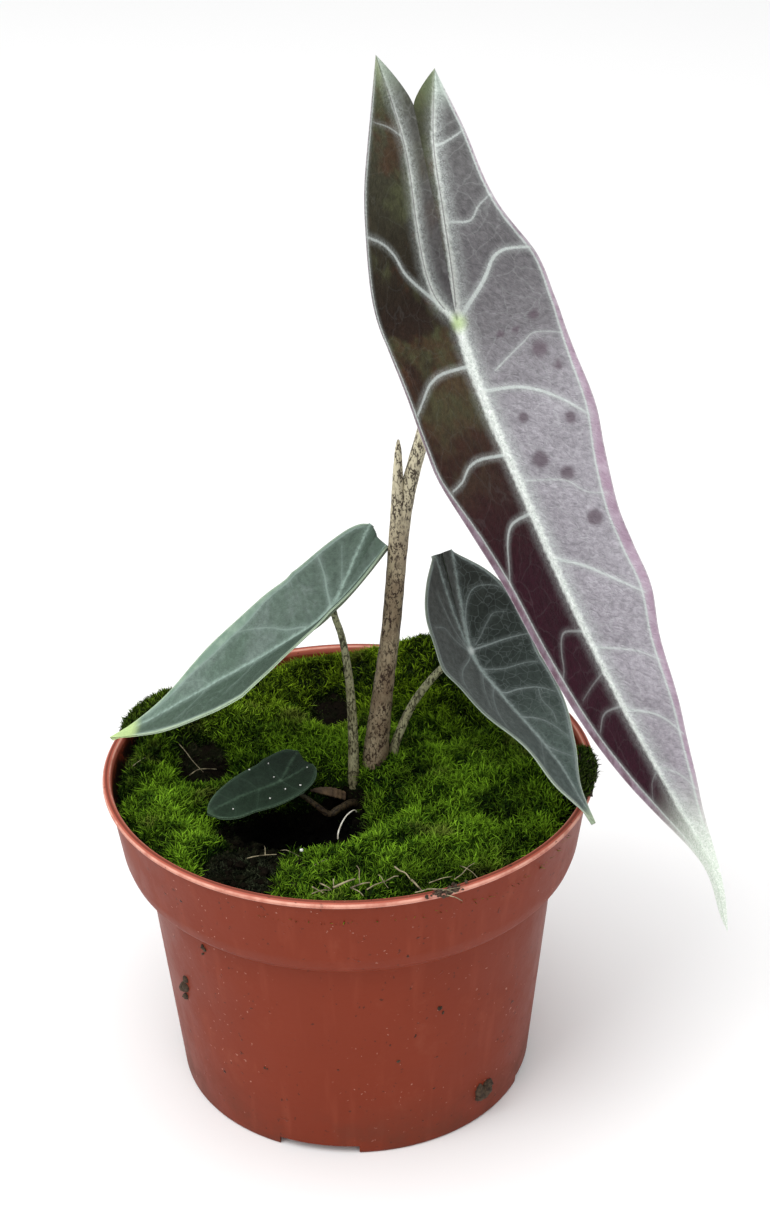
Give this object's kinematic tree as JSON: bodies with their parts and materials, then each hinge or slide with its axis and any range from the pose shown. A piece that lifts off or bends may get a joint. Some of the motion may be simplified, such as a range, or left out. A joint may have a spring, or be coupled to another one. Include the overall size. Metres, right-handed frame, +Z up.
{
  "type": "potted alocasia amazonica",
  "caption": "Young elephant-ear plant with one tall, narrow, arrow-shaped leaf and smaller leaves, growing in mossy soil in a round brick-red plastic nursery pot.",
  "frame": {"origin": "centre of the pot's flat underside", "axes": "+Z up; -Y is the side that the picture shows; the large leaf leans towards +X"},
  "size_m": [0.1461, 0.12, 0.2546],
  "materials": {
    "pot": "slightly glossy, lightly soiled",
    "soil": "damp and crumbly",
    "moss": "soft and matt",
    "corm": "rough",
    "stalk": "satin",
    "blade_main": "satin",
    "blade": "satin",
    "bract": "dry and papery"
  },
  "bodies": {
    "root": {"pot": "pot", "soil": "soil", "moss": "moss", "corm": "corm", "petiole_main": "stalk", "petiole_left": "stalk", "petiole_right": "stalk", "petiole_small": "stalk", "leaf_main": "blade_main", "leaf_left": "blade", "leaf_right": "blade", "leaf_small": "blade", "cataphyll": "bract"}
  },
  "joints": []
}
